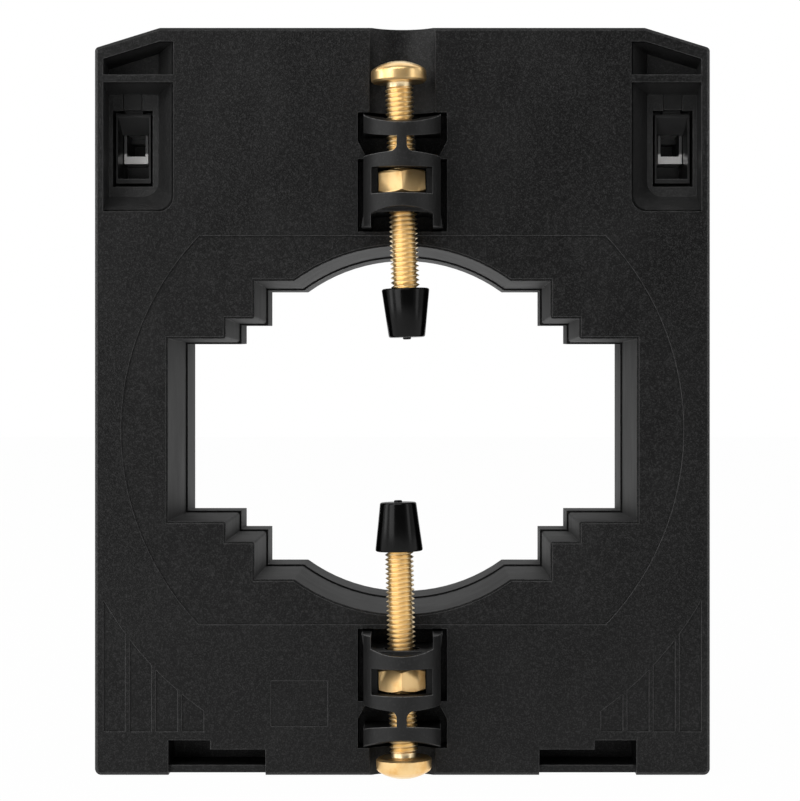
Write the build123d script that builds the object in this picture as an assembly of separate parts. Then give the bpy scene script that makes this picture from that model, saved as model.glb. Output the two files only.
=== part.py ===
from build123d import *

import os

# Window-type current transformer: a two-shell housing round a stepped window,
# a wound ring core inside, two clamp screws on the front and two cage terminals.
# Frame: millimetres, +Z up, the front face looks along -Y.
# The origin is the middle of the flat base, halfway through the depth.

# Window for the primary conductor: three bar sizes and one round size, crossed
slot_width = 81.6
slot_height = 31.8
middle_width = 61.5
middle_height = 38.8
square_width = 51.5
square_height = 51.9
round_diameter = 64.1
window_corner_radius = 0.5
rim_step_width = 0.35
rim_step_depth = 0.3

# Housing
body_depth = 50.0
front_shell_depth = 34.0
side_wall = 1.5
face_wall = 2.0
window_wall = 1.5
shoulder_run = 11.3
shoulder_drop = 3.5
base_corner_radius = 1.1
shoulder_corner_radius = 0.8
edge_chamfer = 0.5
base_margin = 4.75
top_margin = 14.75
lap_length = 2.0
lap_thickness = 0.7
lap_clearance = 0.05
shell_window_step = 0.1

# Shallow relief round the window on both faces
relief_radius = 48.9
relief_margin = 1.75
relief_depth = 0.3

# Wound core: one rounded rectangular ring, in layers from the outside in
pack_build = 9.0
pack_side_gap = 0.4
pack_outer_gap = 0.3
pack_top_gap = 1.05
pack_corner_radius = 18.0
pack_front = 8.6
pack_rear_gap = 4.0
tape_thickness = 0.4
winding_thickness = 1.2
insulation_thickness = 0.6
layer_gap = 0.1
rib_thickness = 2.0
rib_offset = 22.0
lead_radius = 0.6
lead_run = 6.0

# Clamp screws, their nuts and insulating caps
axis_stand = 4.5
top_lean = 1.8
bottom_lean = 1.3
screw_radius = 2.45
screw_length = 40.0
screw_end_chamfer = 0.4
head_radius = 4.75
head_rim = 1.9
head_shoulder_radius = 4.4
head_shoulder_height = 2.35
head_height = 3.7
recess_arm = 4.2
recess_blade = 0.9
recess_sink = 2.0
top_head_stand = 17.15
bottom_head_stand = 13.45
thread_clearance = 0.05
nut_flats = 8.0
nut_height = 3.8
nut_chamfer = 0.45
nut_chamfer_width = 0.72
cap_length = 8.4
cap_mouth_radius = 4.08
cap_tip_radius = 3.15
cap_tip_wall = 3.75
cap_edge_chamfer = 0.35
cap_nub_radius = 0.7
cap_nub_height = 0.35

# Nut holders: a cage round the nut, a bridge further out and a neck between
holder_radius = 6.65
holder_bore_clearance = 0.7
nut_side_clearance = 0.15
nut_end_clearance = 0.35
cage_opening = 10.4
cage_ledge = 2.0
cage_outer = 4.3
cage_outer_rise = 0.65
cage_inner = 5.55
cage_arch = 1.1
cage_bar = 5.2
cage_bar_front = 3.9
bridge_inner = 8.7
bridge_outer = 11.7
bridge_sag = 0.7
bridge_slope = 0.2
neck_width = 1.7
neck_depth = 1.6
neck_flare = 1.2
spine_width = 4.4
leg_length = 2.15
leg_thickness = 1.35
leg_flare = 0.3

# Recess in the front face for each holder, and the trough beside it
recess_depth = 6.0
recess_half_width = 7.75
recess_gap = 0.7
recess_inner_reach = 8.15
recess_outer_reach = 12.6
waist_inner = 4.5
waist_outer = 7.6
waist_depth = 1.65
trough_radius = 7.3

# Terminal pockets in the two upper corners of the front face
pocket_depth = 7.0
pocket_width = 12.2
pocket_top = 9.5
pocket_bottom = 32.0
pocket_side_slope = 3.4
pocket_bottom_slope = 3.2
pocket_top_slope = 1.3
pocket_corner_radius = 2.6
upper_pocket_bottom = 8.2
upper_pocket_roof = 2.4
upper_pocket_slope = 0.9

# Cage terminals
terminal_inset = 5.75
terminal_wall = 1.5
insert_width = 6.9
insert_clearance = 0.1
insert_sill = 26.4
insert_top = 4.8
insert_front = 11.0
insert_depth = 13.0
nose_width = 6.2
nose_height = 12.2
nose_front = 8.0
nose_margin = 0.6
funnel_wall = 0.35
funnel_top_drop = 3.3
funnel_back_width = 4.6
latch_width = 3.2
latch_height = 2.8
latch_gap = 0.1
latch_link_depth = 1.2
cage_width = 4.3
cage_depth = 6.0
cage_front = 12.0
cage_side_wall = 0.5
cage_floor = 1.3
cage_roof = 1.7
cage_window = 7.9
cage_height_above_sill = 3.85
cage_clearance = 0.3
cage_side_clearance = 0.2
sill_thickness = 0.8
bar_width = 2.8
bar_thickness = 1.0
bar_height_above_sill = 9.0
bar_tail = 1.0
wire_well_width = 3.2
wire_well_end_wall = 1.0
terminal_screw_radius = 1.45
terminal_head_radius = 2.5
terminal_head_height = 1.8
terminal_head_clearance = 0.2
terminal_head_ledge = 0.6
terminal_slot_length = 3.75
terminal_slot_width = 0.7
terminal_slot_depth = 1.0
driver_hole_radius = 2.1

# Slots in the base for plug-in feet, on both faces
foot_slot_side = 12.8
foot_slot_width = 16.9
foot_slot_sill = 1.65
foot_slot_height = 2.85
foot_slot_tall_width = 7.3
foot_slot_tall_height = 4.45
foot_slot_depth = 10.0
foot_sill_setback = 1.0
foot_base_rise = 0.35

# Shallow strips in the lower corners and a bare plate, on the front face
strip_count = 4
strip_width = 3.75
strip_pitch = 4.55
strip_side = 1.55
strip_bottom = 7.6
strip_arc_radius = 59.8
strip_depth = 0.3
plate_width = 9.8
plate_height = 7.9
plate_centre_x = -17.9
plate_bottom = 8.5
plate_depth = 0.2

# Worked out from the sizes above
front_y = -body_depth / 2
back_y = body_depth / 2
joint_y = front_y + front_shell_depth
side_build = window_wall + pack_side_gap + pack_build + pack_outer_gap + side_wall
body_width = slot_width + 2 * side_build
relief_flat = round_diameter / 2 + relief_margin
nut_offset = relief_flat + recess_gap + recess_inner_reach
window_z = nut_offset + recess_outer_reach + base_margin
body_height = window_z + nut_offset + recess_outer_reach + top_margin
axis_y = front_y - axis_stand
recess_y = front_y + recess_depth
pocket_floor_y = front_y + pocket_depth
pack_front_y = front_y + pack_front
pack_back_y = back_y - pack_rear_gap
half_width = body_width / 2
terminal_x = half_width - terminal_inset
sill_z = body_height - insert_sill
nose_top_z = sill_z + nose_height
insert_back_y = front_y + insert_front + insert_depth
terminal_axis_y = front_y + cage_front + cage_depth / 2
bar_z = sill_z + bar_height_above_sill
cage_bottom_z = sill_z + cage_height_above_sill
cage_top_z = cage_bottom_z + cage_floor + cage_window + cage_roof
cage_lift = bar_z - cage_bottom_z - cage_floor
chamber_top_z = cage_top_z + cage_lift + cage_clearance
head_seat_z = chamber_top_z + terminal_head_ledge
holder_bore_radius = screw_radius + holder_bore_clearance
reach = 200.0
skin = 0.1


def outline(points):
    """A flat face inside a closed run of straight lines."""
    return make_face(Polyline(*points, close=True))


def prism(profile, y_start, y_end):
    """A front-view profile made solid between two depths."""
    plane = Plane(origin=(0, y_end, 0), x_dir=(1, 0, 0), z_dir=(0, -1, 0))
    return extrude(plane * profile, amount=y_end - y_start)


def block(x_span, y_span, z_span):
    """A block between two coordinates on each axis."""
    spans = (x_span, y_span, z_span)
    sizes = [high - low for low, high in spans]
    middle = [(high + low) / 2 for low, high in spans]
    return Pos(*middle) * Box(*sizes)


def rod(radius, x, y, z_start, z_end):
    """An upright cylinder between two heights."""
    height = z_end - z_start
    return Pos(x, y, z_start + height / 2) * Cylinder(radius, height)


def both_sides(shape):
    """The shape with its mirror image on the other side of the window."""
    return shape + mirror(shape, about=Plane.YZ)


def rectangle_between(x_span, z_span):
    """A front-view rectangle between two coordinates on each axis."""
    width = x_span[1] - x_span[0]
    height = z_span[1] - z_span[0]
    centre = ((x_span[0] + x_span[1]) / 2, (z_span[0] + z_span[1]) / 2)
    return Pos(*centre) * Rectangle(width, height)


def housing_outline(inset=0.0):
    """Front view of the housing, with a flat base and two slanted shoulders."""
    shoulder_z = body_height - shoulder_drop
    shoulder_x = half_width - shoulder_run
    right = [(half_width, 0), (half_width, shoulder_z), (shoulder_x, body_height)]
    left = [(-x, z) for x, z in reversed(right)]
    face = outline(right + left)
    if inset:
        return offset(face, -inset, kind=Kind.INTERSECTION)
    rows = face.vertices().group_by(Axis.Y)
    face = fillet(rows[0], base_corner_radius)
    shoulders = face.vertices().filter_by_position(Axis.Y, shoulder_z - skin, shoulder_z + skin)
    return fillet(shoulders, shoulder_corner_radius)


def window_outline(grow=0.0):
    """Front view of the stepped window, evenly grown."""
    bars = [(slot_width, slot_height), (middle_width, middle_height), (square_width, square_height)]
    shape = Circle(round_diameter / 2 + grow)
    for width, height in bars:
        shape += Rectangle(width + 2 * grow, height + 2 * grow)
    return Pos(0, window_z) * shape


def rounded_window(grow=0.0):
    """The window as the conductor sees it, with its inward corners rounded."""
    grown = offset(window_outline(grow), window_corner_radius, kind=Kind.INTERSECTION)
    return offset(grown, -window_corner_radius, kind=Kind.ARC)


def relief_outline():
    """The round relief about the window, flattened above and below."""
    flat = Rectangle(2 * relief_radius, 2 * relief_flat)
    return Pos(0, window_z) * (Circle(relief_radius) & flat)


def pack_outline(inset):
    """Front view of the wound ring, with every face moved in by the inset."""
    inner_width = slot_width + 2 * (window_wall + pack_side_gap)
    inner_height = round_diameter + 2 * (window_wall + pack_top_gap)
    hole = RectangleRounded(inner_width + 2 * inset, inner_height + 2 * inset,
                            pack_corner_radius + inset)
    rim = RectangleRounded(inner_width + 2 * (pack_build - inset),
                           inner_height + 2 * (pack_build - inset),
                           pack_corner_radius + pack_build - inset)
    return Pos(0, window_z) * (rim - hole)


def pack_layer(inset):
    """The wound ring's solid after everything outside the inset is taken off."""
    return prism(pack_outline(inset), pack_front_y + inset, pack_back_y - inset)


def holder_recess_outline(side):
    """Front view of one holder recess, with two wedges that lock the cage."""
    waist = recess_half_width - waist_depth
    right = [(recess_half_width, -recess_inner_reach), (recess_half_width, waist_inner),
             (waist, waist_inner), (recess_half_width, waist_outer),
             (recess_half_width, recess_outer_reach)]
    left = [(-x, reach_out) for x, reach_out in reversed(right)]
    points = [(x, window_z + side * (nut_offset + z)) for x, z in right + left]
    return outline(points)


def terminal_pocket():
    """The sloped pocket that leads the wire to the right-hand terminal."""
    side_x = half_width - side_wall
    rim = rectangle_between((side_x - pocket_width, side_x),
                            (body_height - pocket_bottom, body_height - pocket_top))
    floor = rectangle_between((side_x - pocket_width + pocket_side_slope, side_x),
                              (body_height - pocket_bottom + pocket_bottom_slope,
                               body_height - pocket_top - pocket_top_slope))
    sections = []
    for face, y in ((rim, front_y), (floor, pocket_floor_y)):
        corner = face.vertices().sort_by(Axis.Y)[:2].sort_by(Axis.X)[0]
        rounded = fillet(corner, pocket_corner_radius)
        plane = Plane(origin=(0, y, 0), x_dir=(1, 0, 0), z_dir=(0, -1, 0))
        sections.append(plane * rounded)
    return loft(sections, ruled=True)


def upper_pocket():
    """The small pocket above the terminal, under the slanted shoulder."""
    side_x = half_width - side_wall
    inner_x = side_x - pocket_width
    slope = shoulder_drop / shoulder_run
    flat_x = half_width - shoulder_run
    roof = body_height - upper_pocket_roof
    floor_z = body_height - upper_pocket_bottom
    rim = [(inner_x, floor_z), (side_x, floor_z), (side_x, roof - slope * (side_x - flat_x)),
           (flat_x, roof), (inner_x, roof)]
    low = upper_pocket_slope
    deep_x = inner_x + pocket_side_slope
    deep_roof = roof - low - slope * (deep_x - flat_x)
    deep = [(deep_x, floor_z), (side_x, floor_z),
            (side_x, roof - low - slope * (side_x - flat_x)),
            (deep_x + low, deep_roof - slope * low), (deep_x, deep_roof)]
    sections = []
    for points, y in ((rim, front_y), (deep, pocket_floor_y)):
        plane = Plane(origin=(0, y, 0), x_dir=(1, 0, 0), z_dir=(0, -1, 0))
        sections.append(plane * outline(points))
    return loft(sections, ruled=True)


def terminal_span(width, clearance=0.0):
    """X span of a piece centred on the right-hand terminal."""
    half = width / 2 + clearance
    return (terminal_x - half, terminal_x + half)


def terminal_chamber():
    """Space for the right-hand insert: nose hole, latch slot, chamber and driver hole."""
    body_x = terminal_span(insert_width, insert_clearance)
    insert_front_y = front_y + insert_front
    nose = block(body_x, (pocket_floor_y - skin, insert_front_y),
                 (sill_z - nose_margin - insert_clearance, nose_top_z + nose_margin))
    latch_top = nose_top_z + nose_margin + latch_height + 2 * latch_gap
    latch = block(terminal_span(latch_width, latch_gap), (pocket_floor_y - skin, insert_front_y),
                  (nose_top_z, latch_top))
    body = block(body_x, (insert_front_y, insert_back_y + skin),
                 (sill_z - insert_clearance, body_height - insert_top + insert_clearance))
    driver = rod(driver_hole_radius, terminal_x, terminal_axis_y,
                 body_height - insert_top, body_height + skin)
    return nose + latch + body + driver


def terminal_bulk():
    """The part of the cavity that stays solid round the right-hand terminal."""
    inner_pocket_x = half_width - side_wall - pocket_width - terminal_wall
    pocket = block((inner_pocket_x, reach), (front_y, pocket_floor_y + terminal_wall),
                   (body_height - pocket_bottom - terminal_wall, reach))
    inner_x = terminal_x - insert_width / 2 - insert_clearance - terminal_wall
    tower = block((inner_x, reach), (front_y, insert_back_y),
                  (sill_z - nose_margin - insert_clearance - terminal_wall, reach))
    return pocket + tower


def foot_slot():
    """One right-hand foot slot in the front face, with its set-back sill."""
    outer_x = half_width - foot_slot_side
    inner_x = outer_x - foot_slot_width
    y_end = front_y + foot_slot_depth
    low = block((inner_x, outer_x), (front_y - skin, y_end),
                (foot_slot_sill, foot_slot_sill + foot_slot_height))
    tall = block((outer_x - foot_slot_tall_width, outer_x), (front_y - skin, y_end),
                 (foot_slot_sill, foot_slot_sill + foot_slot_tall_height))
    setback = block((inner_x, outer_x), (front_y - skin, front_y + foot_sill_setback),
                    (foot_base_rise, foot_slot_sill + skin))
    rise = block((inner_x, outer_x), (front_y - skin, y_end), (-skin, foot_base_rise))
    return low + tall + setback + rise


def foot_bulk():
    """The part of the cavity that stays solid round a right-hand foot slot."""
    outer_x = half_width - foot_slot_side
    top_z = foot_slot_sill + foot_slot_tall_height + side_wall
    return block((outer_x - foot_slot_width - side_wall, outer_x + side_wall),
                 (front_y, front_y + foot_slot_depth + side_wall), (-skin, top_z))


def corner_strips():
    """Shallow upright strips in the lower right corner, cut off by one big arc."""
    arc = Pos(0, window_z) * Circle(strip_arc_radius)
    strips = []
    for index in range(strip_count):
        outer_x = half_width - strip_side - index * strip_pitch
        strip = rectangle_between((outer_x - strip_width, outer_x), (strip_bottom, window_z))
        strips.append(prism(strip - arc, front_y - skin, front_y + strip_depth))
    return strips


def core_ribs(y_start, y_end):
    """Ribs that the wound ring rests on, between the window tube and the walls."""
    ribs = []
    for side in (-1, 1):
        x = side * rib_offset
        span = (x - rib_thickness / 2, x + rib_thickness / 2)
        ribs.append(block(span, (y_start, y_end), (-skin, body_height)))
    half = rib_thickness / 2
    ribs.append(block((-half_width, half_width), (y_start, y_end), (window_z - half, window_z + half)))
    return ribs


def lap(profile_gap, y_start, y_end):
    """Ring just inside the outer wall and round the window tube, for the lap joint."""
    outer = housing_outline(side_wall - lap_thickness - profile_gap)
    outer -= housing_outline(side_wall)
    tube = window_outline(window_wall)
    tube -= window_outline(window_wall - lap_thickness - profile_gap)
    return prism(outer + tube, y_start, y_end)


def cavity(y_start, y_end):
    """The hollow between the outer wall and the window tube."""
    profile = housing_outline(side_wall) - window_outline(window_wall)
    return prism(profile, y_start, y_end)


def make_front_shell():
    """Front shell: face, outer wall, window tube, recesses and terminal towers."""
    shell = prism(housing_outline(), front_y, joint_y)
    face_edges = shell.faces().sort_by(Axis.Y)[0].edges()
    shell = chamfer(face_edges, edge_chamfer)

    hollow = cavity(front_y + face_wall, joint_y + skin)
    hollow -= both_sides(terminal_bulk())
    hollow -= both_sides(foot_bulk())
    recess_wall = recess_half_width + side_wall
    for side in (-1, 1):
        ends = [window_z + side * (nut_offset - recess_inner_reach - side_wall),
                window_z + side * reach]
        hollow -= block((-recess_wall, recess_wall), (front_y, recess_y + side_wall), sorted(ends))
    for rib in core_ribs(front_y, pack_front_y):
        hollow -= rib
    shell -= hollow
    shell -= lap(lap_clearance, joint_y - lap_length, joint_y + skin)

    shell -= prism(rounded_window(), front_y - skin, joint_y + skin)
    shell -= prism(relief_outline(), front_y - skin, front_y + relief_depth)
    rim_y = front_y + relief_depth
    shell -= prism(window_outline(rim_step_width), front_y - skin, rim_y + rim_step_depth)
    for side in (-1, 1):
        shell -= prism(holder_recess_outline(side), front_y - skin, recess_y)
        inner_z = window_z + side * (nut_offset + recess_outer_reach - skin)
        outer_z = body_height + skin if side > 0 else -skin
        low, high = sorted((inner_z, outer_z))
        shell -= rod(trough_radius, 0, axis_y, low, high)

    shell -= both_sides(terminal_pocket())
    shell -= both_sides(upper_pocket())
    shell -= both_sides(terminal_chamber())
    shell -= both_sides(foot_slot())
    for strip in corner_strips():
        shell -= both_sides(strip)
    plate = rectangle_between((plate_centre_x - plate_width / 2, plate_centre_x + plate_width / 2),
                              (plate_bottom, plate_bottom + plate_height))
    shell -= prism(plate, front_y - skin, front_y + plate_depth)
    return shell


def make_rear_shell():
    """Rear shell: back wall, outer wall, the rest of the window tube and the lap."""
    shell = prism(housing_outline(), joint_y, back_y)
    back_edges = shell.faces().sort_by(Axis.Y)[-1].edges()
    shell = chamfer(back_edges, edge_chamfer)
    turned = Plane.XZ
    rear_foot = mirror(foot_slot(), about=turned)
    rear_foot_bulk = mirror(foot_bulk(), about=turned)

    hollow = cavity(joint_y - skin, back_y - face_wall)
    hollow -= both_sides(rear_foot_bulk)
    for rib in core_ribs(pack_back_y, back_y):
        hollow -= rib
    shell -= hollow
    shell += lap(0, joint_y - lap_length + lap_clearance, joint_y + skin)

    shell -= prism(rounded_window(shell_window_step), joint_y - skin, back_y + skin)
    shell -= prism(relief_outline(), back_y - relief_depth, back_y + skin)
    rim_y = back_y - relief_depth - rim_step_depth
    shell -= prism(window_outline(rim_step_width), rim_y, back_y + skin)
    shell -= both_sides(rear_foot)
    return shell


def make_core_pack():
    """Ring core, its insulation, the secondary winding and the outer tape."""
    tape_in = tape_thickness
    winding_out = tape_in + layer_gap
    winding_in = winding_out + winding_thickness
    insulation_out = winding_in + layer_gap
    insulation_in = insulation_out + insulation_thickness
    core_out = insulation_in + layer_gap
    return {
        "winding_tape": pack_layer(0) - pack_layer(tape_in),
        "secondary_winding": pack_layer(winding_out) - pack_layer(winding_in),
        "core_insulation": pack_layer(insulation_out) - pack_layer(insulation_in),
        "ring_core": pack_layer(core_out),
    }


def holder_column():
    """Upright column of a holder: half round in front, square behind."""
    back = axis_stand + recess_depth
    arc = ThreePointArc((-holder_radius, 0), (0, -holder_radius), (holder_radius, 0))
    sides = Polyline((holder_radius, 0), (holder_radius, back), (-holder_radius, back),
                     (-holder_radius, 0))
    return Pos(0, 0, -reach / 2) * extrude(make_face(arc + sides), amount=reach)


def cage_view():
    """Front view of the cage round the nut: pitched above, arched between two legs below."""
    leg_x = holder_radius - leg_thickness
    foot_z = -cage_inner - leg_length
    pitch = Polyline((-holder_radius, foot_z), (-holder_radius, cage_outer),
                     (0, cage_outer + cage_outer_rise), (holder_radius, cage_outer),
                     (holder_radius, foot_z), (leg_x, foot_z), (leg_x, -cage_inner))
    arch = ThreePointArc((leg_x, -cage_inner), (0, -cage_inner + cage_arch), (-leg_x, -cage_inner))
    foot = Polyline((-leg_x, -cage_inner), (-leg_x, foot_z), (-holder_radius, foot_z))
    return make_face(pitch + arch + foot)


def neck_view():
    """Front view of the cage with its neck, which flares out to the cage."""
    half = neck_width / 2
    view = cage_view() + rectangle_between((-half, half), (0, bridge_inner))
    corners = view.vertices().filter_by_position(Axis.X, -half - skin, half + skin)
    corners = corners.filter_by_position(Axis.Y, cage_outer, cage_outer + cage_outer_rise)
    return fillet(corners, neck_flare)


def make_bridge():
    """The holder's outer band, hollowed above and sloping down towards the front."""
    low = Polyline((-holder_radius, bridge_outer), (-holder_radius, bridge_inner),
                   (holder_radius, bridge_inner), (holder_radius, bridge_outer))
    sag = ThreePointArc((holder_radius, bridge_outer), (0, bridge_outer - bridge_sag),
                        (-holder_radius, bridge_outer))
    view = Plane.XZ * make_face(low + sag)
    front = extrude(view, amount=2 * holder_radius, dir=(0, -1, -bridge_slope))
    rear = extrude(view, amount=2 * holder_radius, dir=(0, 1, 0))
    return (front + rear) & holder_column()


def make_holder():
    """Nut holder about the nut's centre, its outer end towards +Z."""
    back = axis_stand + recess_depth
    cage = prism(cage_view(), -2 * holder_radius, back) & holder_column()
    neck = prism(neck_view(), -2 * holder_radius, neck_depth - holder_radius) & holder_column()
    spine = block((-spine_width / 2, spine_width / 2), (holder_bore_radius + skin, back),
                  (cage_outer - skin, bridge_inner + skin))
    leg_x = holder_radius - leg_thickness
    bar = block((-leg_x, leg_x), (-cage_bar_front, back), (-cage_bar, 0))
    holder = cage + neck + make_bridge() + spine + bar

    nut_half = nut_flats / 2 + nut_side_clearance
    pocket_half = nut_height / 2 + nut_end_clearance
    nut_corner = nut_flats / 3 ** 0.5
    holder -= block((-nut_half, nut_half), (-reach, nut_corner + nut_side_clearance),
                    (-pocket_half, pocket_half))
    holder -= block((-cage_opening / 2, cage_opening / 2), (-reach, -cage_ledge),
                    (-pocket_half, pocket_half))
    holder -= rod(holder_bore_radius, 0, 0, -reach, reach)

    foot_z = -cage_inner - leg_length
    barb = outline([(leg_x, -cage_inner), (holder_radius, -cage_inner),
                    (holder_radius + leg_flare, foot_z), (leg_x, foot_z)])
    return holder + both_sides(prism(barb, -leg_flare, back))


def make_nut():
    """Hexagon nut with chamfered corners, one corner to the front."""
    corner = nut_flats / 3 ** 0.5
    hexagon = extrude(RegularPolygon(corner, 6, rotation=30), amount=nut_height / 2, both=True)
    rims = Cylinder(corner, nut_height).edges().filter_by(GeomType.CIRCLE)
    drum = chamfer(rims, nut_chamfer, nut_chamfer_width)
    bore = Cylinder(screw_radius + thread_clearance, 2 * nut_height)
    return (hexagon & drum) - bore


def make_clamp_screw():
    """Pan-head screw, its head's underside at z = 0 and its shank downwards."""
    tip = -screw_length
    shoulder = (head_shoulder_radius, head_shoulder_height)
    side = Polyline((0, tip), (screw_radius - screw_end_chamfer, tip),
                    (screw_radius, tip + screw_end_chamfer), (screw_radius, 0),
                    (head_radius, 0), (head_radius, head_rim), shoulder)
    rise = head_height - head_shoulder_height
    dome_radius = (head_shoulder_radius ** 2 + rise ** 2) / (2 * rise)
    half = head_shoulder_radius / 2
    dip = dome_radius - (dome_radius ** 2 - half ** 2) ** 0.5
    dome = ThreePointArc(shoulder, (half, head_height - dip), (0, head_height))
    profile = Plane.XZ * make_face(side + dome + Line((0, head_height), (0, tip)))
    screw = revolve(profile, Axis.Z)
    for turn in (0, 90):
        blade = Box(recess_arm, recess_blade, 2 * recess_sink)
        screw -= Pos(0, 0, head_height) * Rot(0, 0, turn) * blade
    return screw


def make_clamp_cap():
    """Insulating cap, its tip at z = 0 and its mouth upwards."""
    side = Polyline((0, -cap_nub_height), (cap_nub_radius, -cap_nub_height), (cap_nub_radius, 0),
                    (cap_tip_radius, 0), (cap_mouth_radius, cap_length),
                    (0, cap_length), (0, -cap_nub_height))
    cap = revolve(Plane.XZ * make_face(side), Axis.Z)
    rims = [edge for edge in cap.edges().filter_by(GeomType.CIRCLE) if edge.radius > cap_nub_radius + skin]
    cap = chamfer(rims, cap_edge_chamfer)
    bore = screw_radius + thread_clearance
    return cap - rod(bore, 0, 0, cap_tip_wall, cap_length + skin)


def clamp_place(side):
    """Frame of one clamp: origin at its nut, +Z away from the window, leaning."""
    turn = 0 if side > 0 else 180
    return Pos(0, axis_y, window_z + side * nut_offset) * Rot(0, turn, 0)


def make_clamp(name, side, lean, head_stand):
    """Holder, nut, screw and cap of one clamp."""
    place = clamp_place(side)
    leaning = place * Rot(0, -lean, 0)
    tip_stand = head_stand - screw_length - cap_tip_wall - thread_clearance
    return {
        f"{name}_nut_holder": place * make_holder(),
        f"{name}_clamp_nut": leaning * make_nut(),
        f"{name}_clamp_screw": leaning * Pos(0, 0, head_stand) * make_clamp_screw(),
        f"{name}_clamp_cap": leaning * Pos(0, 0, tip_stand) * make_clamp_cap(),
    }


def funnel():
    """The wire funnel in the insert's nose, narrowing towards the cage."""
    y_start = front_y + nose_front - skin
    y_end = front_y + cage_front - cage_clearance
    wide = rectangle_between(terminal_span(nose_width, -funnel_wall),
                             (sill_z + sill_thickness, nose_top_z - funnel_wall))
    narrow = rectangle_between(terminal_span(funnel_back_width),
                               (sill_z + sill_thickness, nose_top_z - funnel_top_drop))
    sections = []
    for face, y in ((wide, y_start), (narrow, y_end)):
        plane = Plane(origin=(0, y, 0), x_dir=(1, 0, 0), z_dir=(0, -1, 0))
        sections.append(plane * face)
    return loft(sections, ruled=True)


def make_terminal_insert():
    """Moulded insert of the right-hand terminal, with its latch and chambers."""
    insert_front_y = front_y + insert_front
    top_z = body_height - insert_top
    body = block(terminal_span(insert_width), (insert_front_y, insert_back_y), (sill_z, top_z))
    nose = block(terminal_span(nose_width), (front_y + nose_front, insert_front_y + skin),
                 (sill_z, nose_top_z))
    latch_z = nose_top_z + nose_margin + latch_gap
    latch = block(terminal_span(latch_width), (pocket_floor_y, insert_front_y + skin),
                  (latch_z, latch_z + latch_height))
    link_y = (front_y + nose_front + latch_link_depth, insert_front_y + skin)
    link = block(terminal_span(latch_width), link_y, (nose_top_z - skin, latch_z + skin))
    insert = body + nose + latch + link

    chamber_y = (front_y + cage_front - cage_clearance,
                 front_y + cage_front + cage_depth + cage_clearance)
    insert -= funnel()
    insert -= block(terminal_span(cage_width, cage_side_clearance), chamber_y,
                    (sill_z + sill_thickness, chamber_top_z))
    insert -= block(terminal_span(wire_well_width),
                    (chamber_y[1] - skin, insert_back_y - wire_well_end_wall),
                    (cage_bottom_z, bar_z - wire_well_end_wall))
    insert -= rod(terminal_screw_radius + terminal_head_clearance, terminal_x, terminal_axis_y,
                  chamber_top_z - skin, top_z)
    insert -= rod(terminal_head_radius + terminal_head_clearance, terminal_x, terminal_axis_y,
                  head_seat_z, top_z + skin)
    insert -= block(terminal_span(bar_width, lap_clearance), (chamber_y[0], insert_back_y + skin),
                    (bar_z - lap_clearance, bar_z + bar_thickness + lap_clearance))
    return insert


def make_terminal_cage():
    """Lift cage: a frame that pulls the wire up against the contact bar."""
    y_span = (front_y + cage_front, front_y + cage_front + cage_depth)
    cage = block(terminal_span(cage_width), y_span, (cage_bottom_z, cage_top_z))
    cage -= block(terminal_span(cage_width, -cage_side_wall), (y_span[0] - skin, y_span[1] + skin),
                  (cage_bottom_z + cage_floor, cage_top_z - cage_roof))
    thread = terminal_screw_radius + thread_clearance
    return cage - rod(thread, terminal_x, terminal_axis_y, cage_top_z - cage_roof - skin,
                      cage_top_z + skin)


def make_contact_bar():
    """Contact bar through the cage, out of the insert's back."""
    y_span = (front_y + cage_front - cage_clearance + layer_gap, insert_back_y + bar_tail)
    return block(terminal_span(bar_width), y_span, (bar_z, bar_z + bar_thickness))


def make_terminal_screw():
    """Captive screw whose tip stands on the contact bar."""
    tip_z = bar_z + bar_thickness + layer_gap
    head_z = head_seat_z + layer_gap
    top_z = head_z + terminal_head_height
    screw = rod(terminal_screw_radius, terminal_x, terminal_axis_y, tip_z, head_z + skin)
    screw += rod(terminal_head_radius, terminal_x, terminal_axis_y, head_z, top_z)
    for turn in (0, 90):
        blade = Box(terminal_slot_length, terminal_slot_width, 2 * terminal_slot_depth)
        screw -= Pos(terminal_x, terminal_axis_y, top_z) * Rot(0, 0, turn) * blade
    return screw


def make_lead():
    """Winding lead from the tape's upper corner to the contact bar's tail."""
    inner_width = slot_width + 2 * (window_wall + pack_side_gap)
    inner_height = round_diameter + 2 * (window_wall + pack_top_gap)
    corner_x = inner_width / 2 - pack_corner_radius
    corner_z = window_z + inner_height / 2 - pack_corner_radius
    on_ring = (pack_corner_radius + pack_build) / 2 ** 0.5
    start = (corner_x + on_ring, corner_z + on_ring)
    bar_end_y = insert_back_y + bar_tail
    wire_y = bar_end_y + lead_run
    rise = terminal_x - start[0]
    centre_z = bar_z + bar_thickness / 2
    path = Polyline((start[0], wire_y, start[1]), (terminal_x, wire_y, start[1] + rise),
                    (terminal_x, wire_y, centre_z), (terminal_x, bar_end_y, centre_z))
    section = Plane(origin=path @ 0, z_dir=path % 0) * Circle(lead_radius)
    wire = sweep(section, path=path, transition=Transition.RIGHT)
    return wire - pack_layer(0)


def make_terminal():
    """All pieces of the right-hand terminal."""
    return {
        "terminal_insert": make_terminal_insert(),
        "terminal_cage": make_terminal_cage(),
        "contact_bar": make_contact_bar(),
        "terminal_screw": make_terminal_screw(),
        "winding_lead": make_lead(),
    }


def build():
    """Every node of the transformer by name."""
    nodes = {"front_shell": make_front_shell(), "rear_shell": make_rear_shell()}
    nodes.update(make_core_pack())
    nodes.update(make_clamp("top", 1, top_lean, top_head_stand))
    nodes.update(make_clamp("bottom", -1, bottom_lean, bottom_head_stand))
    for name, shape in make_terminal().items():
        nodes[f"right_{name}"] = shape
        nodes[f"left_{name}"] = mirror(shape, about=Plane.YZ)
    return nodes


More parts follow.
